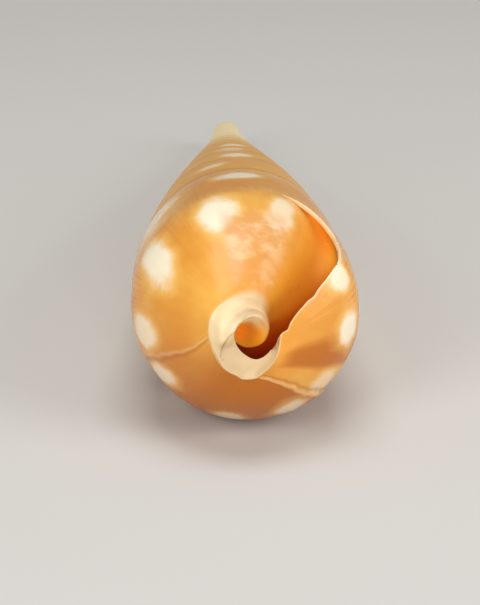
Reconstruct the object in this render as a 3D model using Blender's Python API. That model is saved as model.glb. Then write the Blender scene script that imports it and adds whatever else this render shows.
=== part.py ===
"""Auger shell: one grown piece, hollow from its mouth, lying on its back with the mouth up.

The shell is worked out about its own axis: x to the right and y up as seen from the canal end,
and "along" measured from the apex towards that end. A turn counts whorls: it is 0 where the lip
meets the last suture, and negative further back. "Across" runs over a whorl: 0 at its upper
suture, 1 where the next whorl would lie on it, 2 at the keel of the canal and 3 at its rim.
"""

import math

import bmesh
import bpy
from mathutils import Matrix, Vector

# Driving dimensions, in metres, and turns where named so
CORNER_ALONG = 0.0925       # from the apex to the upper corner of the mouth
APEX_LOST = 0.0026          # the cone's true point lies this far beyond the worn apex
CORNER_RADIUS = 0.01073
CORNER_ANGLE = math.radians(67.5)
GROWTH_PER_TURN = 0.158     # natural logarithm of the growth in one whorl
SPIRE_SWELL = 0.62          # the spire bulges a little past a cone, then hollows
SPIRE_WAIST = 0.85
WORN_TIP_RADIUS = 0.0015
TIP_ALONG = 0.0042
TIP_RING_SPREAD = 0.62      # the worn tip's ring, as parts of the first whorl's width and depth
TIP_RING_RISE = 0.28
FIRST_ALONG = 0.0060
LAST_DROP = 0.0055          # how much the last whorl falls short of even growth
FLANK_START_SLOPE = 0.21
FLANK_END_SLOPE = 0.035
LAST_END_SLOPE = -0.083
LAST_SWELL = 0.00035
KEEL_RADIUS = 0.00315
KEEL_FLARE = 0.00130        # the rim flares this much more at the notch
KEEL_ALONG = 0.1090
KEEL_CLIMB = 0.0060         # along the axis in one turn
NOTCH_TURN = -0.35          # the keel climbs no further past this turn
HIDDEN_TURN = -1.45         # further back than this the canal is inside the shell
RIM_DROP = 0.0004
CANAL_OFFSET = (0.0001, -0.00045)
RIM_OFFSET = (0.00074, -0.00040)
RIM_RADIUS = 0.0021
RIM_INNER_RADIUS = 0.0015   # one turn further in
RIM_BULGE = 0.0007          # the band round the canal is rounded by this much
BASE_FIRST_REACH = 0.35     # how far the base keeps the whorl's slope, as a part of its depth
BASE_LAST_REACH = 0.14
BASE_NECK = 0.40
FRONT_DEPTH = 0.0014        # the canal's floor lies this far behind the keel
LIP_WALL = 0.00050
WALL = 0.0008
GLAZE = 0.00025             # thickness of the inner lip's coat on the whorl before
LUMEN_TURNS = 2.2
LUMEN_STEP = 1.0 / 24.0
LUMEN_START = 0.08          # the hollow's cutter starts this far in front of the lip
LUMEN_OUTER = (0.30, 0.45, 0.60, 0.75, 0.90, 1.05, 1.2, 1.4, 1.6, 1.78)
LUMEN_INNER = (1.84, 1.72, 1.60, 1.50, 1.40, 1.32)
CANAL_RADIUS = 0.0010
CANAL_PATH = ((0.00105, -0.00185, 0.1125), (0.00110, -0.00180, 0.1085), (0.00190, -0.00150, 0.1050),
              (0.00330, -0.00120, 0.1020), (0.00480, -0.00100, 0.0995))
TURN_STEPS = 33
LIP_STEPS = 3               # how many steps the lip lies behind the suture, over one flank
LIP_LAG_BASE = 0.03         # turns that it falls back over the base
LIP_LAG_KEEL = 0.06         # turns more, close to the keel
LIP_LAG_RIM = 0.20
FLANK_ROWS = 3
BASE_ROWS = 7
RIM_ROWS = 3
REST_PITCH = math.radians(5.5)      # lying, the axis falls this much towards the apex
RUBBED_DEPTH = 0.00030      # the side that it lies on is rubbed flat by this much
SHELL_COLOUR = (0.76, 0.40, 0.115, 1.0)
SHELL_ROUGHNESS = 0.28

FLAT_SNAP = 1e-6
STEP = 1.0 / TURN_STEPS
LIP_LAG = LIP_STEPS * STEP
COLLECTION = "auger shell"


def blend(low, high, value):
    """0 below low, 1 above high, and a smooth rise between them."""
    part = min(max((value - low) / (high - low), 0.0), 1.0)
    return part * part * (3.0 - 2.0 * part)


def suture(turn):
    """Radius and distance along of the line on which a whorl starts."""
    size = math.exp(GROWTH_PER_TURN * turn)
    young = 1.0 - size
    radius = CORNER_RADIUS * size * (1.0 + SPIRE_SWELL * young - SPIRE_WAIST * young * young)
    radius = (radius ** 3 + WORN_TIP_RADIUS ** 3) ** (1.0 / 3.0)
    late = max(turn, 0.0) ** 2
    along = (CORNER_ALONG + APEX_LOST) * size - APEX_LOST - LAST_DROP * late
    return radius + LAST_SWELL * late, along


def turn_at(along):
    """The turn whose suture lies this far along."""
    return math.log((along + APEX_LOST) / (CORNER_ALONG + APEX_LOST)) / GROWTH_PER_TURN


def ring_along(turn, front):
    """How far along a ring round the canal lies that starts at front and winds inward."""
    recent = front + KEEL_CLIMB * min(max(turn, -1.0) - NOTCH_TURN, 0.0)
    return (recent + APEX_LOST) * math.exp(GROWTH_PER_TURN * min(turn - HIDDEN_TURN, 0.0)) - APEX_LOST


def keel(turn):
    """Centre, radius and distance along of the keel round the canal."""
    angle = CORNER_ANGLE + 2.0 * math.pi * turn
    flare = KEEL_FLARE * max(-math.sin(angle), 0.0) ** 2 * blend(-0.8, -0.5, turn)
    size = math.exp(GROWTH_PER_TURN * min(turn + 1.0, 0.0))
    shift = blend(-2.2, -1.0, turn)
    centre = (CANAL_OFFSET[0] * shift, CANAL_OFFSET[1] * shift)
    return centre, (KEEL_RADIUS + flare) * size, ring_along(turn, KEEL_ALONG)


def rim(turn):
    """Centre, radius and distance along of the canal's inner rim."""
    radius = RIM_RADIUS + (RIM_INNER_RADIUS - RIM_RADIUS) * blend(NOTCH_TURN, -1.0, turn)
    return RIM_OFFSET, radius, ring_along(turn, KEEL_ALONG - RIM_DROP)


def flank(turn, across):
    """Radius and distance along on the side of a whorl."""
    radius0, along0 = suture(turn)
    radius1, along1 = suture(turn + 1.0)
    height = along1 - along0
    late = min(max(turn + 1.0, 0.0), 1.0)
    end_slope = FLANK_END_SLOPE + (LAST_END_SLOPE - FLANK_END_SLOPE) * late
    a = across
    radius = (2 * a ** 3 - 3 * a ** 2 + 1) * radius0 + (3 * a ** 2 - 2 * a ** 3) * radius1
    radius += (a ** 3 - 2 * a ** 2 + a) * height * FLANK_START_SLOPE
    radius += (a ** 3 - a ** 2) * height * end_slope
    return radius, along0 + height * a


def on_ring(centre, radius, angle, along):
    return Vector((centre[0] + radius * math.cos(angle), centre[1] + radius * math.sin(angle), along))


def surface(turn, across):
    """The outer surface as a point: x, y and along."""
    angle = CORNER_ANGLE + 2.0 * math.pi * turn
    if across <= 1.0:
        radius, along = flank(turn, across)
        return on_ring((0.0, 0.0), radius, angle, along)
    radius1, along1 = suture(turn + 1.0)
    centre, keel_radius, keel_along = keel(turn)
    if across <= 2.0:
        b = across - 1.0
        depth = keel_along - along1
        late = min(max(turn + 1.0, 0.0), 1.0)
        slope = FLANK_END_SLOPE + (LAST_END_SLOPE - FLANK_END_SLOPE) * late
        reach = BASE_FIRST_REACH * depth
        near = (radius1 + slope * reach, along1 + reach)
        far = (keel_radius + BASE_NECK * (radius1 - keel_radius), keel_along - BASE_LAST_REACH * depth)
        weights = ((1 - b) ** 3, 3 * (1 - b) ** 2 * b, 3 * (1 - b) * b * b, b ** 3)
        ends = ((radius1, along1), near, far, (keel_radius, keel_along))
        radius = sum(w * end[0] for w, end in zip(weights, ends))
        along = sum(w * end[1] for w, end in zip(weights, ends))
        shift = blend(0.2, 1.0, b)
        return on_ring((centre[0] * shift, centre[1] * shift), radius, angle, along)
    c = across - 2.0
    start = on_ring(centre, keel_radius, angle, keel_along)
    rim_centre, rim_radius, rim_along = rim(turn)
    end = on_ring(rim_centre, rim_radius, angle, rim_along)
    point = start.lerp(end, c)
    point.z += RIM_BULGE * math.sin(math.pi * c)
    return point


def lag(across):
    """How far behind the suture, in turns, a growth line runs."""
    if across <= 1.0:
        return LIP_LAG * math.sin(0.5 * math.pi * across)
    if across <= 2.0:
        return LIP_LAG + LIP_LAG_BASE * (across - 1.0) + LIP_LAG_KEEL * (across - 1.0) ** 8
    return LIP_LAG + LIP_LAG_BASE + LIP_LAG_KEEL + LIP_LAG_RIM * (across - 2.0)


def shell_point(stage, across):
    return surface(stage - lag(across), across)


def growth_rows(rows, low, high):
    """Evenly spaced places across a whorl, after low and up to high."""
    return [low + (high - low) * (row + 1) / rows for row in range(rows)]


def strip(bm, left, right):
    """Faces between two lines of vertices that may share their ends."""
    for first, second, third, fourth in zip(left, left[1:], right[1:], right):
        corners = []
        for vertex in (first, second, third, fourth):
            if vertex not in corners:
                corners.append(vertex)
        if len(corners) > 2:
            bm.faces.new(corners)


def solid_body():
    """The whole shell as if it were solid, with a sloping wall across the mouth."""
    bm = bmesh.new()
    first_turn = turn_at(FIRST_ALONG)
    columns = int(round(-first_turn / STEP))
    stages = [(i - columns) * STEP for i in range(columns + 1)]
    corner = columns - TURN_STEPS + LIP_STEPS
    rows = []
    for stage in stages:
        line = [bm.verts.new(shell_point(stage, row / FLANK_ROWS)) for row in range(FLANK_ROWS)]
        rows.append(line)
    for index, stage in enumerate(stages):
        if index <= corner:
            rows[index].append(rows[index + TURN_STEPS - LIP_STEPS][0])
        else:
            rows[index].append(bm.verts.new(shell_point(stage, 1.0)))
    front = bm.verts.new((RIM_OFFSET[0], RIM_OFFSET[1], KEEL_ALONG - FRONT_DEPTH))
    outer = growth_rows(BASE_ROWS, 1.0, 2.0) + growth_rows(RIM_ROWS, 2.0, 3.0)
    for index in range(corner, columns + 1):
        rows[index] += [bm.verts.new(shell_point(stages[index], across)) for across in outer]
        rows[index].append(front)
    for index in range(columns):
        length = FLANK_ROWS + 1 if index < corner else len(rows[index])
        strip(bm, rows[index][:length], rows[index + 1][:length])
    lip = rows[columns]
    inner = rows[corner][FLANK_ROWS:]
    close_mouth(bm, lip, inner)
    tip = bm.verts.new((0.0, 0.0, TIP_ALONG))
    loop = [rows[i][0] for i in range(TURN_STEPS - LIP_STEPS, -1, -1)] + rows[0][1:FLANK_ROWS]
    ring = []
    for vertex in loop:
        spread = tip.co + (vertex.co - tip.co) * TIP_RING_SPREAD
        spread.z = tip.co.z + (vertex.co.z - tip.co.z) * TIP_RING_RISE
        ring.append(bm.verts.new(spread))
    strip(bm, loop + loop[:1], ring + ring[:1])
    strip(bm, ring + ring[:1], [tip] * (len(ring) + 1))
    return finished(bm, "shell")


def close_mouth(bm, lip, inner):
    """Bridges two lines of unlike length that share both ends."""
    i = 0
    j = 0
    while i < len(lip) - 1 or j < len(inner) - 1:
        ahead_lip = (i + 1) / (len(lip) - 1)
        ahead_inner = (j + 1) / (len(inner) - 1)
        if j == len(inner) - 1 or (i < len(lip) - 1 and ahead_lip <= ahead_inner):
            corners = [lip[i], lip[i + 1], inner[j]]
            i += 1
        else:
            corners = [lip[i], inner[j + 1], inner[j]]
            j += 1
        if len(set(corners)) == 3:
            bm.faces.new(corners)


def outward(turn, across):
    """Unit normal of the outer surface."""
    step = 0.004
    along_turn = surface(turn + step, across) - surface(turn - step, across)
    along_across = surface(turn, across + 5 * step) - surface(turn, across - 5 * step)
    normal = along_turn.cross(along_across).normalized()
    place = surface(turn, across)
    return normal if normal.x * place.x + normal.y * place.y > 0.0 else -normal


def lumen_ring(stage):
    """The hollow's outline at one growth stage, one wall inside the whorl."""
    size = math.exp(GROWTH_PER_TURN * min(stage, 0.0))
    wall = (LIP_WALL + (WALL - LIP_WALL) * blend(0.0, 0.3, -stage)) * size
    line = []
    for across in LUMEN_OUTER:
        turn = stage - lag(across)
        line.append(surface(turn, across) - outward(turn, across) * wall)
    for across in LUMEN_INNER:
        turn = stage - 1.0 + LIP_LAG - lag(across)
        line.append(surface(turn, across) + outward(turn, across) * GLAZE * size)
    return line


def lumen():
    """The hollow, wound inward from in front of the lip."""
    bm = bmesh.new()
    count = int(round((LUMEN_START + LUMEN_TURNS) / LUMEN_STEP))
    rings = []
    for index in range(count + 1):
        points = lumen_ring(LUMEN_START - index * LUMEN_STEP)
        rings.append([bm.verts.new(point) for point in points])
    for ring, following in zip(rings, rings[1:]):
        strip(bm, ring + ring[:1], following + following[:1])
    last = len(LUMEN_OUTER)
    for ring in (rings[0], rings[-1]):
        close_mouth(bm, ring[:last + 1], [ring[0]] + ring[:last - 1:-1])
    return finished(bm, "lumen")


def canal():
    """The open canal, a short round bore from the notch into the hollow."""
    bm = bmesh.new()
    rings = []
    for index, place in enumerate(CANAL_PATH):
        before = Vector(CANAL_PATH[max(index - 1, 0)])
        after = Vector(CANAL_PATH[min(index + 1, len(CANAL_PATH) - 1)])
        turn_to = (before - after).to_track_quat("Z", "Y").to_matrix().to_4x4()
        made = bmesh.ops.create_circle(bm, segments=12, radius=CANAL_RADIUS,
                                       matrix=Matrix.Translation(place) @ turn_to)
        rings.append(made["verts"])
    for ring, following in zip(rings, rings[1:]):
        strip(bm, ring + ring[:1], following + following[:1])
    for ring in (rings[0], rings[-1]):
        bm.faces.new(ring)
    return finished(bm, "canal")


def finished(bm, name):
    """Turns the faces outward and makes the object."""
    bmesh.ops.recalc_face_normals(bm, faces=bm.faces)
    if bm.calc_volume(signed=True) < 0:
        bmesh.ops.reverse_faces(bm, faces=bm.faces)
    mesh = bpy.data.meshes.new(name)
    bm.to_mesh(mesh)
    bm.free()
    return bpy.data.objects.new(name, mesh)


def lay_down(shell):
    """Lays the shell on its rubbed side on the floor, centred over the origin."""
    along = Vector((0.0, -math.cos(REST_PITCH), math.sin(REST_PITCH)))
    up = Vector((0.0, math.sin(REST_PITCH), math.cos(REST_PITCH)))
    turned = Matrix((Vector((1.0, 0.0, 0.0)), up, along)).transposed().to_4x4()
    shell.data.transform(turned)
    low = [min(vertex.co[axis] for vertex in shell.data.vertices) for axis in range(3)]
    high = [max(vertex.co[axis] for vertex in shell.data.vertices) for axis in range(3)]
    centre = [(a + b) / 2.0 for a, b in zip(low, high)]
    placed = Matrix.Translation((-centre[0], -centre[1], -low[2] - RUBBED_DEPTH))
    shell.data.transform(placed)
    rub_flat(shell)
    return placed @ turned


def rub_flat(shell):
    """Takes off what would be under the floor, and closes the flat that this leaves."""
    bm = bmesh.new()
    bm.from_mesh(shell.data)
    everything = bm.verts[:] + bm.edges[:] + bm.faces[:]
    cut = bmesh.ops.bisect_plane(bm, geom=everything, dist=FLAT_SNAP, plane_co=(0.0, 0.0, 0.0),
                                 plane_no=(0.0, 0.0, 1.0), clear_inner=True)
    rim_edges = [item for item in cut["geom_cut"] if isinstance(item, bmesh.types.BMEdge)]
    bmesh.ops.holes_fill(bm, edges=rim_edges)
    bmesh.ops.triangulate(bm, faces=[face for face in bm.faces if len(face.verts) > 4])
    bm.to_mesh(shell.data)
    bm.free()


def shell_material():
    material = bpy.data.materials.new("shell")
    material.use_nodes = True
    shader = material.node_tree.nodes["Principled BSDF"]
    shader.inputs["Base Color"].default_value = SHELL_COLOUR
    shader.inputs["Roughness"].default_value = SHELL_ROUGHNESS
    shader.inputs["Metallic"].default_value = 0.0
    return material


def main():
    for item in list(bpy.data.objects):
        bpy.data.objects.remove(item, do_unlink=True)
    parts = bpy.data.collections.new(COLLECTION)
    cutters = bpy.data.collections.new("cutters")
    for collection in (parts, cutters):
        bpy.context.scene.collection.children.link(collection)
    shell = solid_body()
    shell.data.materials.append(shell_material())
    parts.objects.link(shell)
    place = lay_down(shell)
    for cutter in (lumen(), canal()):
        cutter.data.transform(place)
        cutter.hide_render = True
        cutter.display_type = "WIRE"
        cutters.objects.link(cutter)
        cut = shell.modifiers.new(cutter.name, "BOOLEAN")
        cut.operation = "DIFFERENCE"
        cut.solver = "EXACT"
        cut.object = cutter
    shell.data.shade_smooth()
    shell.data.set_sharp_from_angle(angle=math.radians(40.0))


main()
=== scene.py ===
# %% [markdown]
# An auger shell is one tube that a snail makes longer and wider at its lip, wound round an axis.
# Everything on it follows that growth: the sutures, the fine lines, the scars where the lip once
# broke, and the rows of white spots. It could be sculpted, or turned as a plain horn with the
# pattern painted on. Here every point is worked out from two numbers, how old it is (turns) and
# where it lies across the whorl, so that shape and colour stay together on every side.

# %% Load the frame
import math

import bmesh
import bpy
import numpy as np
from mathutils import Matrix, Vector


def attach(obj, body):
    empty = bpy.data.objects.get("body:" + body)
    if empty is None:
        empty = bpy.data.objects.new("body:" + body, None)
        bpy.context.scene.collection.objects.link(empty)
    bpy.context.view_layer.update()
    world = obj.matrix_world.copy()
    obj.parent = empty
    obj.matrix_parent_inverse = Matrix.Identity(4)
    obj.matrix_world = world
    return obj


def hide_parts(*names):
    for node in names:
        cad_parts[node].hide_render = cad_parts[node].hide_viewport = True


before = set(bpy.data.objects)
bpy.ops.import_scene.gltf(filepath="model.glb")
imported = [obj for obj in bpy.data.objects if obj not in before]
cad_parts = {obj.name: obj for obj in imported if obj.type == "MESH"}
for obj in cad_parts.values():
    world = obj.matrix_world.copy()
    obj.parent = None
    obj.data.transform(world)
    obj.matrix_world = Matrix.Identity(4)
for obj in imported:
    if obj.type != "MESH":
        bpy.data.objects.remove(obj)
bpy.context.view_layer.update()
print("frame nodes:", sorted(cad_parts))

# %% [markdown]
# First come two small tools. One blends smoothly from 0 to 1, which makes soft edges. The other
# draws a smooth curve through a few knots, which is how the twisted canal end is described.

# %% Two ways to blend
MM = 0.001


def smooth(low, high, value):
    part = np.clip((value - low) / (high - low), 0.0, 1.0)
    return part * part * (3.0 - 2.0 * part)


def bell(value, centre, width):
    return np.exp(-((value - centre) / width) ** 2)


def through(value, knots):
    """A smooth curve through (place, height) knots, level beyond the first and the last."""
    place = np.array([knot[0] for knot in knots])
    height = np.array([knot[1] for knot in knots])
    slope = np.gradient(height, place)
    value = np.clip(value, place[0], place[-1])
    index = np.clip(np.searchsorted(place, value) - 1, 0, len(place) - 2)
    span = place[index + 1] - place[index]
    a = (value - place[index]) / span
    return ((2 * a ** 3 - 3 * a ** 2 + 1) * height[index]
            + (3 * a ** 2 - 2 * a ** 3) * height[index + 1]
            + (a ** 3 - 2 * a ** 2 + a) * span * slope[index]
            + (a ** 3 - a ** 2) * span * slope[index + 1])


print("blend halfway:", float(smooth(0.0, 1.0, 0.5)))

# %% [markdown]
# The spire. A whorl is a little larger than the one before it, always in the same ratio, so its
# radius and its place along the axis follow powers of one number. The tip of this shell is worn
# blunt, so the first whorls end in a small dome. Lengths here are in millimetres, measured from
# the apex along the axis; the shell is laid down at the end.

# %% The spiral line where whorls meet
GROWTH = 0.158
CORNER_ALONG, CORNER_RADIUS = 92.5, 10.73
CORNER_ANGLE = math.radians(67.5)
APEX_LOST = 2.6
TIP_RADIUS, TIP_ALONG, FIRST_ALONG = 1.52, 4.0, 7.2
CAP_TURNS = 4.0
SPIRE_SWELL, SPIRE_WAIST = 0.62, 0.85
LAST_DROP, LAST_SWELL = 5.5, 0.35
FLANK_START_SLOPE, FLANK_END_SLOPE, LAST_SLOPE_DROP = 0.21, 0.035, 0.118


def turn_at(along):
    return math.log((along + APEX_LOST) / (CORNER_ALONG + APEX_LOST)) / GROWTH


FIRST_TURN = turn_at(FIRST_ALONG)


def suture(turn):
    size = np.exp(GROWTH * turn)
    young = 1.0 - size
    radius = CORNER_RADIUS * size * (1.0 + SPIRE_SWELL * young - SPIRE_WAIST * young * young)
    radius = np.cbrt(radius ** 3 + TIP_RADIUS ** 3)
    late = np.maximum(turn, 0.0) ** 2
    along = (CORNER_ALONG + APEX_LOST) * size - APEX_LOST - LAST_DROP * late
    dome = np.clip((turn - FIRST_TURN + CAP_TURNS) / CAP_TURNS, 0.0, 1.0)
    radius = radius * (1.0 - (1.0 - dome) ** 2) ** 0.80
    capped = TIP_ALONG + (FIRST_ALONG - TIP_ALONG) * (1.0 - (1.0 - dome) ** 1.5)
    return radius + LAST_SWELL * late, np.where(dome < 1.0, capped, along)


print("whorls on the spire:", round(-FIRST_TURN, 1))

# %% [markdown]
# Across a whorl, 0 is its upper suture and 1 is where the next whorl sits on it. From 1 to 2 the
# base of the last whorl curves in to the canal. From 2 to 3 a cream band winds round the canal
# and its outer edge, the notch rim, stands up at the bottom. Past 3 the surface falls into the
# hollow of the twisted pillar, a funnel with one foot. The ring is off the axis and changes as it
# winds, so its radius and its place along the axis go through knots, in turns behind the lip's
# top corner.

# %% The ring round the canal
KEEL_CENTRE = (0.10, -0.45)
KEEL_RADIUS = ((-2.2, 1.9), (-1.6, 2.1), (-1.3, 2.3), (-1.17, 2.35), (-1.11, 2.5),
               (-1.04, 3.05), (-0.97, 3.55), (-0.9, 3.75), (-0.845, 3.9), (-0.79, 3.9),
               (-0.72, 3.58), (-0.657, 3.33), (-0.604, 3.32), (-0.532, 3.66), (-0.48, 3.72),
               (-0.456, 3.98), (-0.404, 3.98), (-0.366, 3.72), (-0.32, 3.58), (-0.26, 3.36),
               (-0.21, 3.22), (-0.17, 3.4), (0.0, 3.6))
KEEL_ALONG = ((-2.2, 100.6), (-1.6, 103.0), (-1.3, 104.2), (-1.17, 104.9), (-1.11, 105.3),
              (-1.04, 106.4), (-0.97, 107.2), (-0.9, 107.8), (-0.845, 108.3), (-0.77, 108.8),
              (-0.66, 109.2), (-0.56, 109.7), (-0.46, 109.9), (-0.366, 109.8), (-0.32, 109.4),
              (-0.26, 108.8), (-0.17, 108.3), (0.0, 108.0))
RIM_STEP = ((-0.95, 0.0), (-0.80, 0.03), (-0.70, 0.14), (-0.62, 0.22), (-0.56, 0.75),
            (-0.46, 0.95), (-0.36, 0.85), (-0.31, 0.40), (-0.24, 0.10), (-0.17, 0.05))
CREST_CENTRE = (0.74, -0.40)
CREST_RADIUS = ((-2.2, 1.5), (-1.75, 1.9), (-1.6, 2.15), (-1.52, 2.15), (-1.42, 1.87),
                (-1.33, 1.68), (-1.22, 1.55), (-1.12, 1.71), (-1.01, 1.92), (-0.92, 2.02),
                (-0.853, 1.86), (-0.74, 1.80), (-0.672, 1.72), (-0.58, 1.80), (-0.5, 1.98),
                (-0.411, 2.33), (-0.328, 2.30), (-0.255, 2.26), (0.0, 2.3))
CREST_ALONG = ((-2.2, 102.0), (-1.75, 104.0), (-1.52, 105.0), (-1.42, 105.5), (-1.33, 106.0),
               (-1.22, 106.5), (-1.12, 107.0), (-1.01, 107.5), (-0.92, 108.0), (-0.853, 108.4),
               (-0.76, 109.2), (-0.70, 109.2), (-0.60, 108.6), (-0.5, 108.4), (-0.411, 108.4),
               (-0.328, 108.1), (-0.255, 107.7), (0.0, 107.5))
HOLLOW_CENTRE = (-0.60, -0.95)
HOLLOW_ALONG = 103.6


def edge_radius(turn):
    """The ring's outer edge: smooth where it is old, and angular where the rim was chipped."""
    chipped = smooth(-0.70, -0.62, turn)
    places, heights = zip(*KEEL_RADIUS)
    straight = np.interp(turn, places, heights)
    return through(turn, KEEL_RADIUS) * (1.0 - chipped) + straight * chipped


def ring(centre, radius, angle, along):
    return np.stack([centre[0] + radius * np.cos(angle), centre[1] + radius * np.sin(angle), along],
                    axis=-1)


def smooth_mix(first, second, part):
    return first + (second - first) * part[..., None]


turns = np.linspace(-1.5, -0.2, 6)
print("rim height by turn:", np.round(through(turns, KEEL_ALONG), 1))

# %% [markdown]
# Now one function gives the outer surface everywhere. The side of a whorl is a cubic that starts
# with a slight bulge under the suture. The base is a four-point curve that leaves the side
# without a corner and arrives at the ring's foot.

# %% The outer surface


def side(turn, across):
    radius0, along0 = suture(turn)
    radius1, along1 = suture(turn + 1.0)
    height = along1 - along0
    end_slope = FLANK_END_SLOPE - LAST_SLOPE_DROP * np.clip(turn + 1.0, 0.0, 1.0)
    a = np.clip(across, 0.0, 1.0)
    radius = (2 * a ** 3 - 3 * a ** 2 + 1) * radius0 + (3 * a ** 2 - 2 * a ** 3) * radius1
    radius = (radius + (a ** 3 - 2 * a ** 2 + a) * height * FLANK_START_SLOPE
              + (a ** 3 - a ** 2) * height * end_slope)
    return radius, along0 + height * a, end_slope


def base(turn, across, angle):
    radius1, along1, slope = side(turn, np.ones_like(across))
    foot_along = through(turn, KEEL_ALONG) - through(turn, RIM_STEP)
    foot_radius = edge_radius(turn)
    depth = foot_along - along1
    b = np.clip(across - 1.0, 0.0, 1.0)
    weights = ((1 - b) ** 3, 3 * (1 - b) ** 2 * b, 3 * (1 - b) * b * b, b ** 3)
    radii = (radius1, radius1 + slope * 0.35 * depth,
             foot_radius + 0.4 * (radius1 - foot_radius), foot_radius)
    places = (along1, along1 + 0.35 * depth, foot_along - 0.14 * depth, foot_along)
    radius = sum(weight * value for weight, value in zip(weights, radii))
    along = sum(weight * value for weight, value in zip(weights, places))
    shift = smooth(0.2, 1.0, b)
    return ring((KEEL_CENTRE[0] * shift, KEEL_CENTRE[1] * shift), radius, angle, along)


def crease(turn, part):
    """How far a place on the band is past the line where the canal's floor laps over the band."""
    return part - (0.50 + (-0.65 - turn) * 5.3)


def band(turn, across, angle):
    c = np.clip(across - 2.0, 0.0, 1.0)
    step = through(turn, RIM_STEP)
    keel_along = through(turn, KEEL_ALONG)
    outer = ring(KEEL_CENTRE, edge_radius(turn), angle, keel_along)
    crest = ring(CREST_CENTRE, through(turn, CREST_RADIUS), angle, through(turn, CREST_ALONG))
    point = smooth_mix(outer, crest, c)
    on_floor = smooth(-0.68, -0.60, turn)
    bulge = 0.60 * (0.5 - 0.5 * np.cos(2.0 * math.pi * c)) * (1.0 - on_floor)
    hollowed = -0.35 * np.sin(math.pi * c) * on_floor
    folded = -0.16 * smooth(-0.03, 0.03, crease(turn, c)) * bell(turn, -0.67, 0.09)
    point[..., 2] += bulge * smooth(-1.6, -1.1, turn) + hollowed + folded
    point[..., 2] -= step * (1.0 - smooth(0.0, 0.06, c))
    return point


def hollow(turn, across, angle):
    d = np.clip(across - 3.0, 0.0, 1.0)
    crest_along = through(turn, CREST_ALONG)
    crest = ring(CREST_CENTRE, through(turn, CREST_RADIUS), angle, crest_along)
    falling = smooth(-0.92, -0.66, turn)
    foot = np.stack([np.full_like(d, HOLLOW_CENTRE[0]), np.full_like(d, HOLLOW_CENTRE[1]),
                     np.full_like(d, HOLLOW_ALONG)], axis=-1)
    point = smooth_mix(crest, foot, d ** (1.0 + 2.0 * falling))
    rolled = 0.12 * np.sin(math.pi * np.clip(d / 0.16, 0.0, 1.0))
    fall = smooth(0.03, 0.98, d) ** 1.5
    point[..., 2] = crest_along + rolled - (crest_along - HOLLOW_ALONG) * fall
    return point


def surface(turn, across):
    angle = CORNER_ANGLE + 2.0 * math.pi * turn
    radius, along, _ = side(turn, across)
    point = ring((0.0, 0.0), radius, angle, along)
    for start, shape in ((1.0, base), (2.0, band), (3.0, hollow)):
        further = across > start
        if further.any():
            point[further] = shape(turn[further], across[further], angle[further])
    return point


middle = surface(np.array([-0.5]), np.array([1.3]))
print("a point low on the last whorl:", np.round(middle, 2))

# %% [markdown]
# Growth lines slant: the lip lies a little behind the suture, further behind over the base, and
# much further round the canal. A stage is one such line, so the shell's edge is stage 0 and an
# old edge is a stage just below it. The lip of this shell is thin and chipped, and two old
# breaks have healed as ragged lines across the last whorl.

# %% Growth lines, chips and scars
STEPS = 264
LAG = 24 / STEPS
STEP = 1.0 / STEPS
RIGHT_SCAR, LEFT_SCAR = -0.222, -0.520


def lag(across):
    b = np.clip(across - 1.0, 0.0, 1.0)
    late = LAG + 0.03 * b + 0.06 * b ** 8 + 0.12 * np.clip(across - 2.0, 0.0, 1.0)
    return np.where(across <= 1.0, LAG * np.sin(0.5 * math.pi * np.clip(across, 0.0, 1.0)), late)


def ripple(value, seed):
    """A small irregular wave between about -1 and 1."""
    return (np.sin(7.1 * value + seed) + np.sin(17.3 * value + 2.3 * seed)
            + np.sin(41.0 * value + 5.1 * seed)) / 3.0


def chips(across):
    jag = 0.0022 * np.maximum(ripple(2.2 * across, 1.7), 0.0) * smooth(0.2, 0.6, across)
    bites = (0.006 * bell(across, 1.93, 0.035) + 0.004 * bell(across, 1.63, 0.03)
             + 0.004 * bell(across, 0.66, 0.05))
    rim = 0.010 * np.maximum(ripple(1.9 * across, 0.4), 0.0) * smooth(1.85, 2.0, across)
    return jag + bites + rim


def scar_line(stage, across, where, seed):
    """Distance, in stages, in front of an old broken edge."""
    return stage - where - 0.0035 * ripple(1.1 * across, seed) - 0.0012 * ripple(5.0 * across, seed)


def relief(stage, across):
    """Height above the plain surface, in millimetres."""
    turn = stage - lag(across)
    visible = smooth(-1.25, -1.05, stage)
    height = 0.0
    for where, seed, depth, low in ((RIGHT_SCAR, 0.9, 0.17, 0.35), (LEFT_SCAR, 2.7, 0.12, 0.15)):
        front = scar_line(stage, across, where, seed)
        on_whorl = smooth(low, low + 0.3, across) * (1.0 - smooth(1.93, 2.0, across))
        height = height - (depth * on_whorl * smooth(0.0, 0.0035, front)
                           * (1.0 - smooth(0.004, 0.11, front)))
        height = height + 0.06 * on_whorl * bell(front, -0.002, 0.004)
    waves = (ripple(19.0 * stage, 0.6) * 0.020
             + ripple(61.0 * stage + 0.6 * np.sin(2.1 * across), 1.1) * 0.012)
    waves = (waves * (1.0 - 0.8 * smooth(1.4, 1.9, across))
             * (1.0 - 0.7 * smooth(-0.88, -0.94, turn)))
    height = height + waves * visible * (1.0 - smooth(1.9, 2.05, across))
    groove = -0.09 * (bell(across, 0.0, 0.035)
                      + bell(across, 1.0, 0.03) * (1.0 - smooth(-1.02, -0.98, turn)))
    return height + groove * smooth(FIRST_TURN + 0.5, FIRST_TURN + 3.0, stage)


def normal_at(turn, across):
    d_turn = surface(turn + 0.002, across) - surface(turn - 0.002, across)
    low = np.maximum(across - 0.01, 0.0)
    d_across = surface(turn, across + 0.01) - surface(turn, low)
    normal = np.cross(d_turn, d_across)
    normal /= np.linalg.norm(normal, axis=-1)[..., None] + 1e-12
    return normal


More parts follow.
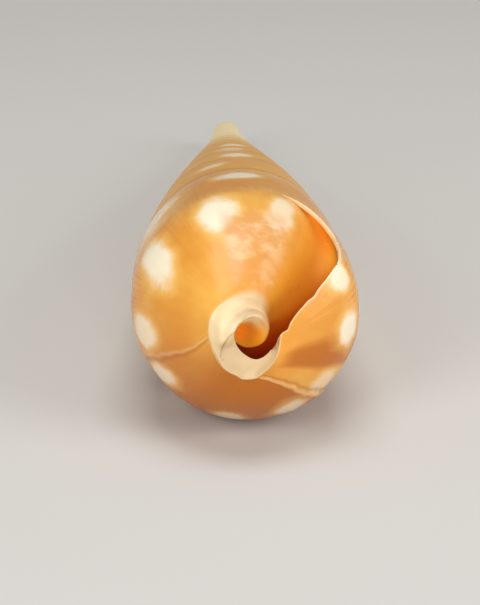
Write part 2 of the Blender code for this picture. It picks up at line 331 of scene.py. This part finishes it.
def shell_point(stage, across):
    edge = smooth(-0.05, 0.0, stage)
    turn = stage - lag(across) - chips(across) * edge
    normal = normal_at(turn, np.minimum(across, 2.999))
    fade = smooth(FIRST_TURN - 0.5, FIRST_TURN + 1.0, stage)
    return surface(turn, across) + normal * (relief(stage, across) * fade)[..., None]


probe = normal_at(np.array([-0.4]), np.array([0.5]))[0]
print("which way the computed normal faces (outward is positive):", round(float(
    probe @ surface(np.array([-0.4]), np.array([0.5]))[0]), 2))

# %% [markdown]
# The wall. A snail's shell is thin at the lip and thickens behind it. The inside is the same
# surface moved inward by the wall, and at stage 0 the wall closes in a small round edge.

# %% The inner surface
LIP_WALL, FULL_WALL = 0.42, 0.75


def wall(stage):
    behind = np.clip(-stage, 0.0, None)
    round_edge = np.sqrt(1.0 - (1.0 - np.clip(behind / 0.005, 0.0, 1.0)) ** 2)
    return (LIP_WALL + (FULL_WALL - LIP_WALL) * smooth(0.0, 0.16, behind)) * round_edge


def inner_point(stage, across):
    turn = stage - lag(across) - chips(across) * smooth(-0.05, 0.0, stage)
    outer = surface(turn, np.minimum(across, 2.0))
    normal = normal_at(turn, np.minimum(across, 1.985))
    inside = outer - normal * wall(stage)[..., None]
    crest = surface(turn, np.full_like(across, 3.0))
    past = np.clip(across - 2.0, 0.0, 1.0)
    joined = smooth_mix(inside, crest, past)
    joined[..., 2] -= wall(stage) * 0.9 * np.sin(math.pi * past)
    return joined


print("wall at the lip and behind it:", LIP_WALL, FULL_WALL)

# %% [markdown]
# Each region starts as a flat grid. Its two flat coordinates are read as stage and across, and
# every vertex is moved to the point that they give. That keeps the faces in tidy rows along the
# growth lines. The same numbers are kept on the mesh, because the colours follow them too.

# %% Grids become surfaces


def make_region(name, low_stage, high_stage, steps, rows, place):
    """A grid whose columns are stages and whose rows are places across."""
    bm = bmesh.new()
    bmesh.ops.create_grid(bm, x_segments=steps, y_segments=len(rows) - 1, size=1.0)
    bm.verts.ensure_lookup_table()
    flat = np.array([vertex.co[:2] for vertex in bm.verts])
    stage = low_stage + (high_stage - low_stage) * (flat[:, 0] + 1.0) / 2.0
    row = np.rint((flat[:, 1] + 1.0) / 2.0 * (len(rows) - 1)).astype(int)
    across = np.array(rows)[row]
    points = place(stage, across)
    for vertex, point in zip(bm.verts, points):
        vertex.co = point
    for label, values in (("stage", stage), ("across", across)):
        layer = bm.verts.layers.float.new(label)
        for vertex, value in zip(bm.verts, values):
            vertex[layer] = value
    if name == "inside":
        bmesh.ops.reverse_faces(bm, faces=bm.faces)
    for face in bm.faces:
        face.smooth = True
    mesh = bpy.data.meshes.new(name)
    bm.to_mesh(mesh)
    bm.free()
    print(name, "has", len(mesh.polygons), "faces")
    return mesh


def spread(low, high, count):
    return [low + (high - low) * index / count for index in range(count + 1)]


SIDE_ROWS = spread(0.0, 1.0, 9)
BASE_ROWS = spread(1.0, 1.9, 30) + spread(1.9, 2.0, 6)[1:]
BAND_ROWS = [2.0, 2.012, 2.025, 2.045, 2.07] + spread(2.12, 2.92, 12) + [2.96, 3.0]
HOLLOW_ROWS = [3.0, 3.03, 3.06, 3.1, 3.15] + spread(3.22, 4.0, 14)
tip_steps = int(math.ceil((-FIRST_TURN + CAP_TURNS + 1.0) * STEPS))
old_steps = int(2.1 * STEPS)
mesh_side = make_region("whorl side", -tip_steps * STEP, 0.0, tip_steps, SIDE_ROWS, shell_point)
mesh_base = make_region("base and band", -old_steps * STEP, 0.0, old_steps,
                        BASE_ROWS + BAND_ROWS[1:], shell_point)
inner_steps = int(1.15 * STEPS)
INNER_ROWS = spread(0.0, 1.9, 34) + spread(1.9, 2.0, 4)[1:] + spread(2.0, 3.0, 8)[1:]
mesh_inner = make_region("inside", -inner_steps * STEP, 0.0, inner_steps, INNER_ROWS, inner_point)

# %% [markdown]
# The hollow of the pillar is wound the same way, but on turns, because nothing there is part of
# the lip. The regions are then joined into one mesh and their shared edges are welded.

# %% Join and weld
CREST_LAG = float(lag(np.array([3.0]))[0])
HOLLOW_START, HOLLOW_END = -0.66, -1.9


def hollow_point(stage, across):
    return surface(stage - CREST_LAG, np.maximum(across, 3.0 + 1e-6))


HOLLOW_STEPS = 340
mesh_hollow = make_region("pillar hollow", HOLLOW_END + CREST_LAG, HOLLOW_START + CREST_LAG,
                          HOLLOW_STEPS, HOLLOW_ROWS, hollow_point)
INSIDE = "inside"
WELD_WITHIN = 0.004
joined = bmesh.new()
joined.verts.layers.float.new(INSIDE)
for mesh, value in ((mesh_side, 0.0), (mesh_base, 0.0), (mesh_inner, 1.0), (mesh_hollow, 0.5)):
    known = len(joined.verts)
    joined.from_mesh(mesh)
    joined.verts.ensure_lookup_table()
    inside_layer = joined.verts.layers.float[INSIDE]
    for vertex in joined.verts[known:]:
        vertex[inside_layer] = value
    bpy.data.meshes.remove(mesh)
before = len(joined.verts)
bmesh.ops.remove_doubles(joined, verts=joined.verts, dist=WELD_WITHIN)
print("welded", before - len(joined.verts), "vertices, left", len(joined.verts))

# %% [markdown]
# The shell is now scaled to metres and laid down as the CAD shell lies. The axis falls a little
# towards the apex, and the shell rests under its front half, with the thin end of the spire clear
# of the floor. A round shell would roll, so the underside is pressed flat there, as it is in the
# CAD. The photograph shows no such flat.

# %% Lie down
REST_PITCH = math.radians(5.5)
LAID_AT = (-0.000175, 0.056727, 0.002210)
along_axis = Vector((0.0, -math.cos(REST_PITCH), math.sin(REST_PITCH)))
up_axis = Vector((0.0, math.sin(REST_PITCH), math.cos(REST_PITCH)))
axes = Matrix((Vector((1.0, 0.0, 0.0)), up_axis, along_axis)).transposed().to_4x4()
laid = Matrix.Translation(LAID_AT) @ axes
bmesh.ops.transform(joined, matrix=laid @ Matrix.Scale(MM, 4), verts=joined.verts)
for vertex in joined.verts:
    vertex.co.z = max(vertex.co.z, 0.0)
shell_mesh = bpy.data.meshes.new("auger_shell")
joined.to_mesh(shell_mesh)
joined.free()
shell = bpy.data.objects.new("auger_shell", shell_mesh)
bpy.context.scene.collection.objects.link(shell)
print("shell has", len(shell_mesh.polygons), "faces")

# %% [markdown]
# The pattern. White spots come in rows, one half way down the whorl and one low on it, and
# each spot lies on its own growth line. Painting them by hand would be simple, but they would
# not follow the surface; so every vertex gets a number that is 1 in the middle of a spot and
# falls away from it, and the material makes the ragged soft edge from it. The low and the high
# row were placed against the photograph. Those of the far side are invented.

# %% Spots on the growth lines
LOW_ROW = ((-1.000, 0.022, 0.17, 0.72), (-0.896, 0.031, 0.17, 1.00), (-0.771, 0.031, 0.20, 1.00),
           (-0.659, 0.026, 0.16, 0.75), (-0.583, 0.025, 0.14, 0.70), (-0.462, 0.022, 0.12, 0.60),
           (-0.362, 0.026, 0.14, 0.72), (-0.297, 0.024, 0.13, 0.50), (-0.203, 0.028, 0.16, 0.95),
           (-0.116, 0.021, 0.15, 0.90))
HIGH_ROW = ((-0.9375, 0.49, 0.030, 0.125, 1.0), (-0.797, 0.52, 0.044, 0.27, 0.75),
            (-1.890, 0.60, 0.030, 0.11, 0.6), (-2.940, 0.77, 0.034, 0.14, 0.8),
            (-3.930, 0.80, 0.036, 0.13, 0.4), (-4.940, 0.85, 0.040, 0.13, 0.6))
LOW_ROW_ACROSS = 1.29
FAR_SIDE = (-0.66, -0.53, -0.40, -0.27)
FAR_SPOT = (0.52, 0.030, 0.14, 0.8)
SPOTTED_WHORLS = 13


def attribute(name):
    values = np.zeros(len(shell_mesh.vertices), dtype=np.float32)
    shell_mesh.attributes[name].data.foreach_get("value", values)
    return values


def keep(name, values):
    layer = shell_mesh.attributes.new(name, "FLOAT", "POINT")
    layer.data.foreach_set("value", np.asarray(values, dtype=np.float32))


stage, across, inside = attribute("stage"), attribute("across"), attribute("inside")
turn = stage - lag(across)
spot, strength = np.zeros_like(turn), np.zeros_like(turn)
placed = [(centre, LOW_ROW_ACROSS, *size) for centre, *size in LOW_ROW] + list(HIGH_ROW)
for whorl in range(SPOTTED_WHORLS):
    for centre in FAR_SIDE:
        wander = 0.012 * math.sin(2.9 * whorl + 11.0 * centre)
        placed.append((centre - whorl + wander, *FAR_SPOT))
for centre, middle, half_turn, half_across, pale in placed:
    value = 1.0 - 0.5 * np.hypot((turn - centre) / half_turn, (across - middle) / half_across)
    strength = np.where(value > spot, pale, strength)
    spot = np.maximum(spot, value)
keep("strength", strength)
keep("spot", spot)
keep("turn", turn)
print("vertices in a spot:", int((spot > 0.5).sum()))

# %% [markdown]
# A few more fields of the same kind: how cream the surface is near the canal, where the glossy
# coat of the inner lip covers the whorl before, how deep a place lies in the mouth, the light
# lines of old edges, a reddish stripe below the lip, and an older spot that shows through the
# coat. Light came through the thin lip in the photograph. The glow field marks where, and a weak
# emission stands in for it.
# The hollow of the pillar is painted paler on its lit top and deeper orange on its shaded side, and
# the canal's crease and floor carry painted shade.

# %% Cream, glaze, depth and old edges
soft = 0.11 * bell(turn, -0.98, 0.09) + 0.004
on_band = smooth(1.995 - soft, 2.004, across)
cream = on_band * smooth(-1.36, -1.16, turn)
glaze = (smooth(1.22, 1.45, across) * (1.0 - smooth(1.80, 1.95, across))
         * smooth(-0.890, -0.912, turn) * smooth(-1.05, -1.00, turn))
depth = np.where(inside > 0.9, smooth(0.0, 0.42, -stage),
                 smooth(-1.03, -1.36, turn) * (across > 1.0) * (inside < 0.1))
depth = np.where(inside > 0.9, depth * (1.0 - smooth(2.75, 2.97, across)), depth)
# Painted light on the pillar's hollow: shade is 1 on its lit top side and 0 on its shaded lower
# side. The cream reaches deeper on the lit side, the top gets a paler painted light, and on the
# shaded side the deep orange is painted up over the crest.
shade = 0.5 + 0.5 * np.cos(2.0 * math.pi * (turn + 0.99))
shade_reach = 0.80 * (1.0 - shade) * smooth(-1.05, -1.20, turn)
cup = smooth(3.0 - shade_reach, 3.30 + 0.70 * shade, across) * smooth(-0.60, -0.68, turn)
cup_lit_top = bell(turn, -0.96, 0.13)
glow = ((inside > 0.9) * smooth(0.004, 0.03, -stage) * (1.0 - smooth(0.03, 0.13, -stage))
        * (1.0 - smooth(1.6, 1.95, across)))
old_spot = (inside < 0.1) * bell(turn, -1.124, 0.026) * bell(across, 1.27, 0.16)
interior = (inside > 0.9) * (1.0 - smooth(2.75, 2.97, across))
# Painted shadow: a thin dark line along the crease where the canal's floor laps over the band.
crease_shadow = (bell(crease(turn, across - 2.0), 0.0, 0.05) * bell(turn, -0.655, 0.045)
        * (across > 2.0) * (across < 2.999))
floor_part = smooth(-0.70, -0.60, turn) * on_band
stripe = (smooth(-0.176, -0.158, stage) * (1.0 - smooth(-0.120, -0.088, stage))
          * (1.0 - smooth(1.80, 1.98, across)) * smooth(0.3, 0.9, across))
calm = bell(turn, -0.96, 0.20) * smooth(0.85, 1.1, across)
old_edge, scar_shade = np.zeros_like(turn), np.zeros_like(turn)
for where, seed, low in ((RIGHT_SCAR, 0.9, 0.35), (LEFT_SCAR, 2.7, 0.15)):
    front = scar_line(stage, across, where, seed)
    line = smooth(low, low + 0.3, across) * (1.0 - smooth(1.93, 2.0, across))
    scar_shade = np.maximum(scar_shade, line * bell(front, 0.0075, 0.0045))
    paleness = 0.65 if where == RIGHT_SCAR else 0.40
    old_edge = np.maximum(old_edge, line * bell(front, -0.001, 0.0040) * paleness)
reach = 0.030 + 0.030 * (1.0 - smooth(0.8, 1.3, across))
# The pale inner edge of the thin lip is the shell's own colour. The extra term near across 2.3
# paints a pale patch where the lip's inside meets the canal band, partly a pale chip and partly
# painted light over the shade there.
inner_edge = (np.where(inside > 0.9, 1.0 - smooth(0.004, reach, -stage), 0.0)
              * (1.0 - smooth(1.2, 1.8, across) + bell(across, 2.3, 0.25)))
outer_edge = bell(stage, 0.0, 0.0035) * (across < 2.6) * (1.0 - 0.35 * smooth(1.3, 1.7, across))
lip = np.maximum(outer_edge, 0.8 * inner_edge)
for label, values in (("cream", cream), ("glaze", glaze), ("depth", depth), ("cup", cup),
                      ("old_edge", old_edge), ("lip", lip), ("crease_shadow", crease_shadow),
                      ("floor_part", floor_part), ("stripe", stripe), ("calm", calm),
                      ("interior", interior), ("scar_shade", scar_shade),
                      ("cup_lit_top", cup_lit_top), ("glow", glow), ("old_spot", old_spot)):
    keep(label, values)
print("fields kept:", [item.name for item in shell_mesh.attributes if item.data_type == "FLOAT"])

# %% [markdown]
# The material is one Principled shader, glossy as glazed shell is. Its colour is built up in
# layers, from the orange ground to the spots and the cream canal. The fine growth lines are a
# node group: noise stretched far along the growth line, so that it reads as thin parallel lines.

# %% Small node helpers


def linear(red, green, blue):
    return tuple(((c / 255.0 + 0.055) / 1.055) ** 2.4 if c > 10 else c / 3294.6
                 for c in (red, green, blue)) + (1.0,)


class Tree:
    """A short way to add nodes to a node tree and join them."""

    def __init__(self, tree):
        self.tree = tree

    def add(self, kind, **settings):
        made = self.tree.nodes.new(kind)
        for name, value in settings.items():
            setattr(made, name, value)
        return made

    def put(self, socket, value):
        if isinstance(value, bpy.types.NodeSocket):
            self.tree.links.new(value, socket)
        else:
            socket.default_value = value

    def math(self, operation, first, second=0.0, clamp=False):
        made = self.add("ShaderNodeMath", operation=operation, use_clamp=clamp)
        self.put(made.inputs[0], first)
        self.put(made.inputs[1], second)
        return made.outputs[0]

    def ramp(self, value, low, high, out_low=0.0, out_high=1.0):
        made = self.add("ShaderNodeMapRange", interpolation_type="SMOOTHSTEP")
        for index, item in enumerate((value, low, high, out_low, out_high)):
            self.put(made.inputs[index], item)
        return made.outputs[0]

    def mix(self, factor, first, second):
        made = self.add("ShaderNodeMix", data_type="RGBA")
        self.put(made.inputs[0], factor)
        self.put(made.inputs[6], first)
        self.put(made.inputs[7], second)
        return made.outputs[2]

    def field(self, name):
        return self.add("ShaderNodeAttribute", attribute_name=name).outputs["Fac"]

    def noise(self, vector, scale, detail=3.0, roughness=0.5):
        made = self.add("ShaderNodeTexNoise")
        self.put(made.inputs["Vector"], vector)
        for name, value in (("Scale", scale), ("Detail", detail), ("Roughness", roughness)):
            made.inputs[name].default_value = value
        return made.outputs["Fac"]


def group(name, takes, gives):
    made = bpy.data.node_groups.new(name, "ShaderNodeTree")
    for label, kind, value in takes:
        socket = made.interface.new_socket(name=label, in_out="INPUT",
                                           socket_type="NodeSocket" + kind)
        if value is not None:
            socket.default_value = value
    for label, kind in gives:
        made.interface.new_socket(name=label, in_out="OUTPUT", socket_type="NodeSocket" + kind)
    return made, Tree(made), made.nodes.new("NodeGroupInput"), made.nodes.new("NodeGroupOutput")


print("orange ground in linear light:", [round(c, 3) for c in linear(232, 166, 75)])

# %% [markdown]
# Growth lines: the stage is spread out a few hundred times, across only a few times, and noise
# reads the two as a place. One copy is coarse and one is fine.

# %% The growth line group
lines_group, tree, takes, gives = group(
    "growth lines", (("Stage", "Float", 0.0), ("Across", "Float", 0.0), ("Density", "Float", 220.0),
                     ("Wander", "Float", 1.2)), (("Lines", "Float"),))
place = tree.add("ShaderNodeCombineXYZ")
tree.put(place.inputs[0], tree.math("MULTIPLY", takes.outputs["Stage"], takes.outputs["Density"]))
tree.put(place.inputs[1], tree.math("MULTIPLY", takes.outputs["Across"], takes.outputs["Wander"]))
tree.put(gives.inputs["Lines"], tree.ramp(tree.noise(place.outputs[0], 1.0, 4.0, 0.62), 0.32, 0.68))
print("group:", lines_group.name)

# %% The glazed shell material
material = bpy.data.materials.new("glazed shell")
material.use_nodes = True
shader = material.node_tree.nodes["Principled BSDF"]
tree = Tree(material.node_tree)
spot_value, stage_value = tree.field("spot"), tree.field("stage")
across_value = tree.field("across")
turn_value, depth_value = tree.field("turn"), tree.field("depth")
inside_value, cream_value = tree.field("inside"), tree.field("cream")
place = tree.add("ShaderNodeTexCoord").outputs["Object"]
cloud = tree.noise(place, 140.0, 3.0, 0.5)
patch = tree.noise(place, 420.0, 3.0, 0.6)
blotch = tree.noise(place, 230.0, 1.0, 0.4)


def growth_lines(density, wander):
    made = tree.add("ShaderNodeGroup", node_tree=lines_group)
    tree.put(made.inputs["Stage"], stage_value)
    tree.put(made.inputs["Across"], across_value)
    made.inputs["Density"].default_value = density
    made.inputs["Wander"].default_value = wander
    return made.outputs["Lines"]


coarse = growth_lines(46.0, 0.8)
fine = growth_lines(230.0, 1.6)
outside = tree.math("SUBTRACT", 1.0, tree.ramp(inside_value, 0.1, 0.4), clamp=True)

ground = tree.mix(tree.ramp(cloud, 0.3, 0.7), linear(222, 148, 52), linear(232, 172, 76))
lively = tree.math("SUBTRACT", 1.0, tree.math("MULTIPLY", tree.field("calm"), 0.9), clamp=True)
near_rim = tree.math("MULTIPLY", tree.ramp(across_value, 0.85, 1.02),
                     tree.ramp(across_value, 1.5, 1.12))
near_rim = tree.math("MULTIPLY", near_rim, lively)
coarse_share = tree.math("ADD", 0.08, tree.math("MULTIPLY", near_rim, 0.20))
ground = tree.mix(tree.math("MULTIPLY", coarse, coarse_share), ground, linear(198, 112, 38))
fine_share = tree.math("ADD", 0.03, tree.math("MULTIPLY", near_rim, 0.32))
ground = tree.mix(tree.math("MULTIPLY", fine, fine_share), ground, linear(248, 208, 146))
# Behind the right scar the lower body is darker orange-brown: partly the shell's own darker older
# growth, and partly painted shade on its lower side.
older_tone_and_shade = tree.math("MULTIPLY", tree.ramp(stage_value, -0.214, -0.232),
                  tree.ramp(turn_value, -0.74, -0.50))
ground = tree.mix(tree.math("MULTIPLY", older_tone_and_shade, 0.85), ground, linear(176, 92, 10))
ground = tree.mix(tree.math("MULTIPLY", tree.field("stripe"), 0.72), ground, linear(176, 86, 8))
spire = tree.ramp(turn_value, -1.0, -1.6)
ground = tree.mix(tree.math("MULTIPLY", spire, 0.55), ground, linear(224, 170, 84))
# Painted shade: the spire is darkened to tan-brown just under each suture and just above the next
# one, where the suture groove lies in shade.
on_spire = tree.math("MULTIPLY", spire, tree.ramp(across_value, 1.06, 1.0))
below = tree.math("MULTIPLY", tree.ramp(across_value, 0.86, 1.0), on_spire)
painted_suture_shade = tree.math("ADD", tree.ramp(across_value, 0.10, 0.0), below, clamp=True)
ground = tree.mix(tree.math("MULTIPLY", painted_suture_shade, 0.62), ground, linear(184, 130, 64))

# %% [markdown]
# Spots: the field is shaken by noise before it is cut, which gives the ragged outline, and a
# faint golden halo stays round each.

# %% Spots, cream canal, glaze and edges
rough = tree.math("MULTIPLY", tree.math("SUBTRACT", patch, 0.5), 0.42)
uneven = tree.math("MULTIPLY", tree.math("SUBTRACT", blotch, 0.5), 0.50)
shaken = tree.math("ADD", tree.math("ADD", spot_value, rough), uneven)
pale = tree.field("strength")
halo = tree.math("MULTIPLY", tree.ramp(shaken, 0.12, 0.52), 0.60)
ground = tree.mix(tree.math("MULTIPLY", halo, pale), ground, linear(246, 196, 108))
white = tree.math("MULTIPLY", tree.ramp(shaken, 0.38, 0.70), 0.92)
ground = tree.mix(tree.math("MULTIPLY", white, pale), ground, linear(250, 238, 214))
# The parietal glaze: its own pale pinkish tone, with paler noise streaks painted in as sheen.
glaze_tone_and_sheen = tree.mix(tree.ramp(patch, 0.42, 0.62), linear(220, 160, 106), linear(238, 198, 156))
coated = tree.math("MULTIPLY", tree.field("glaze"), tree.ramp(cloud, 0.30, 0.60, 0.35, 0.75))
ground = tree.mix(coated, ground, glaze_tone_and_sheen)
bleached = tree.math("MULTIPLY", tree.ramp(turn_value, -5.0, -10.0), 0.90)
ground = tree.mix(bleached, ground, linear(255, 236, 184))
scar_dark = tree.math("MULTIPLY", tree.field("scar_shade"), 0.45)
ground = tree.mix(scar_dark, ground, linear(150, 78, 20))
ground = tree.mix(tree.math("MULTIPLY", tree.field("old_edge"), 0.8), ground, linear(240, 200, 142))
creamy = tree.mix(tree.ramp(cloud, 0.35, 0.65), linear(238, 218, 180), linear(230, 204, 156))
# Painted shade: the canal floor's side of the band is a darker beige. The specks below are the
# band's own marks.
creamy = tree.mix(tree.field("floor_part"), creamy, linear(208, 180, 138))
creamy = tree.mix(tree.ramp(turn_value, -0.80, -0.95), creamy, linear(222, 190, 146))
speck = tree.math("MULTIPLY", tree.ramp(tree.noise(place, 3200.0, 1.0), 0.70, 0.76),
                  tree.field("floor_part"))
creamy = tree.mix(tree.math("MULTIPLY", speck, 0.5), creamy, linear(150, 104, 60))
# Painted shadow along the canal's crease.
creamy = tree.mix(tree.math("MULTIPLY", tree.field("crease_shadow"), 0.75), creamy, linear(140, 100, 56))
ground = tree.mix(cream_value, ground, creamy)

near_lip = tree.mix(tree.field("interior"), linear(216, 140, 40), linear(240, 190, 104))
deep = tree.mix(tree.ramp(depth_value, 0.0, 0.45), near_lip, linear(212, 108, 16))
deep = tree.mix(tree.ramp(depth_value, 0.45, 1.0), deep, linear(216, 88, 10))
within = tree.math("MAXIMUM", tree.field("interior"), tree.ramp(depth_value, 0.0, 0.5), clamp=True)
beside_mouth = tree.math("MULTIPLY", tree.ramp(turn_value, -1.00, -1.07),
                         tree.ramp(across_value, 1.1, 1.3))
ground = tree.mix(tree.math("MULTIPLY", beside_mouth, 0.50), ground, linear(210, 132, 20))
ground = tree.mix(within, ground, deep)
cup_value = tree.field("cup")
# Painted light in the pillar's hollow: the crest tone is paler toward the lit top, and the hollow's
# own orange reaches further up on the shaded side.
cup_light = tree.mix(tree.field("cup_lit_top"), linear(250, 184, 84), linear(255, 228, 170))
cup_colour = tree.mix(tree.ramp(cup_value, 0.05, 1.0), cup_light, linear(250, 142, 8))
ground = tree.mix(tree.ramp(cup_value, 0.0, 0.35), ground, cup_colour)
ground = tree.mix(tree.math("MULTIPLY", tree.field("lip"), 0.9), ground, linear(255, 240, 208))
showing_through = tree.math("MULTIPLY", tree.field("old_spot"), 0.95)
ground = tree.mix(showing_through, ground, linear(255, 226, 150))
tree.put(shader.inputs["Base Color"], ground)
# The emission is painted light: it stands in for light coming through the thin lip, and a weaker
# share of it brightens the orange of the pillar's hollow.
glow_value = tree.math("MAXIMUM", tree.field("glow"), tree.math("MULTIPLY", cup_value, 0.30))
glowing = tree.mix(glow_value, (0.0, 0.0, 0.0, 1.0), linear(255, 204, 70))
tree.put(shader.inputs["Emission Color"], glowing)
shader.inputs["Emission Strength"].default_value = 0.50

# %% Gloss and fine relief
worn = tree.math("MULTIPLY", patch, 0.12)
dull = tree.math("ADD", tree.math("MULTIPLY", spire, 0.12), tree.math("MULTIPLY", within, 0.22))
tree.put(shader.inputs["Roughness"], tree.math("ADD", worn, tree.math("ADD", 0.18, dull)))
shader.inputs["Coat Weight"].default_value = 0.08
shader.inputs["Specular IOR Level"].default_value = 0.28
shader.inputs["Coat Roughness"].default_value = 0.12
shader.inputs["Subsurface Weight"].default_value = 0.22
shader.inputs["Subsurface Radius"].default_value = (1.0, 0.55, 0.25)
shader.inputs["Subsurface Scale"].default_value = 0.0012
bump = tree.add("ShaderNodeBump")
bump.inputs["Strength"].default_value = 0.25
bump.inputs["Distance"].default_value = 0.00008
lines_height = tree.math("ADD", tree.math("MULTIPLY", fine, 0.6),
                         tree.math("MULTIPLY", coarse, 0.4))
smooth_side = tree.math("MULTIPLY", lively, tree.ramp(depth_value, 0.25, 0.0))
bump_height = tree.math("MULTIPLY", tree.math("MULTIPLY", lines_height, outside), smooth_side)
tree.put(bump.inputs["Height"], bump_height)
tree.put(shader.inputs["Normal"], bump.outputs["Normal"])
shell_mesh.materials.append(material)
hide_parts("shell")
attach(shell, "root")
print("material nodes:", len(material.node_tree.nodes))

# %% [markdown]
# The floor is a plain pale sheet. It is staging, not part of the shell.

# %% Floor
bm = bmesh.new()
bmesh.ops.create_grid(bm, x_segments=1, y_segments=1, size=1.2)
floor_mesh = bpy.data.meshes.new("floor")
bm.to_mesh(floor_mesh)
bm.free()
floor = bpy.data.objects.new("floor", floor_mesh)
bpy.context.scene.collection.objects.link(floor)
paper = bpy.data.materials.new("pale paper")
paper.use_nodes = True
paper_shader = paper.node_tree.nodes["Principled BSDF"]
paper_shader.inputs["Base Color"].default_value = (0.64, 0.63, 0.61, 1.0)
paper_shader.inputs["Roughness"].default_value = 0.85
floor_mesh.materials.append(paper)
print("floor size in m:", tuple(round(side_length, 2) for side_length in floor.dimensions))

# %% [markdown]
# The reflections in the photograph suggest broad soft lights on both sides: each side of the
# whorl has a long pale one and the middle is even. Two large area lights do that. One above keeps
# the spire from going dark, and a small one in front fills the mouth.

# %% Light
TARGET = Vector((0.0, -0.035, 0.011))


def soft_light(name, spot_at, width, height, power):
    data = bpy.data.lights.new(name, "AREA")
    data.shape = "RECTANGLE"
    data.size, data.size_y, data.energy = width, height, power
    lamp = bpy.data.objects.new(name, data)
    lamp.location = spot_at
    lamp.rotation_euler = (TARGET - Vector(spot_at)).to_track_quat("-Z", "Y").to_euler()
    bpy.context.scene.collection.objects.link(lamp)


soft_light("left softbox", (-0.25, -0.40, 0.17), 0.22, 0.30, 1.12)
soft_light("right softbox", (0.34, -0.24, 0.18), 0.22, 0.30, 0.88)
soft_light("top softbox", (0.0, -0.01, 0.50), 0.30, 0.30, 1.1)
soft_light("front fill", (0.05, -0.60, 0.22), 0.16, 0.16, 0.70)
bpy.context.scene.view_settings.view_transform = "Standard"
world = bpy.data.worlds.new("soft room")
world.use_nodes = True
world.node_tree.nodes["Background"].inputs["Color"].default_value = (1.0, 0.94, 0.85, 1.0)
world.node_tree.nodes["Background"].inputs["Strength"].default_value = 0.24
bpy.context.scene.world = world

# %% [markdown]
# The camera looks nearly along the axis from a little above it, with a long lens. Its distance
# of 290 mm in front of the last suture's plane is assumed, because the photograph doesn't give
# it, and the tilt and yaw were fitted for that distance and for the assumed length. It is worked
# out about the shell's axis and carried over by the same matrix that laid the shell down.

# %% Camera
DISTANCE, TILT, YAW = 290.0, math.radians(13.76), math.radians(1.31)
AIM = Vector((0.0, 0.0, CORNER_ALONG))
back = Vector((-math.sin(YAW) * math.cos(TILT), math.sin(TILT), math.cos(YAW) * math.cos(TILT)))
right = Vector((math.cos(YAW), 0.0, math.sin(YAW)))
up = back.cross(right)
turn_matrix = Matrix((right, up, back)).transposed().to_4x4()
local = Matrix.Translation((AIM + back * DISTANCE) * MM) @ turn_matrix
camera_data = bpy.data.cameras.new("camera")
camera_data.lens = 172.56
camera_data.shift_x = -0.002
camera_data.shift_y = -0.0175
camera_data.clip_start = 0.01
camera = bpy.data.objects.new("camera", camera_data)
camera.matrix_world = laid @ local
bpy.context.scene.collection.objects.link(camera)
bpy.context.scene.camera = camera
print("camera is", round(camera.matrix_world.translation.z, 3), "m above the floor")
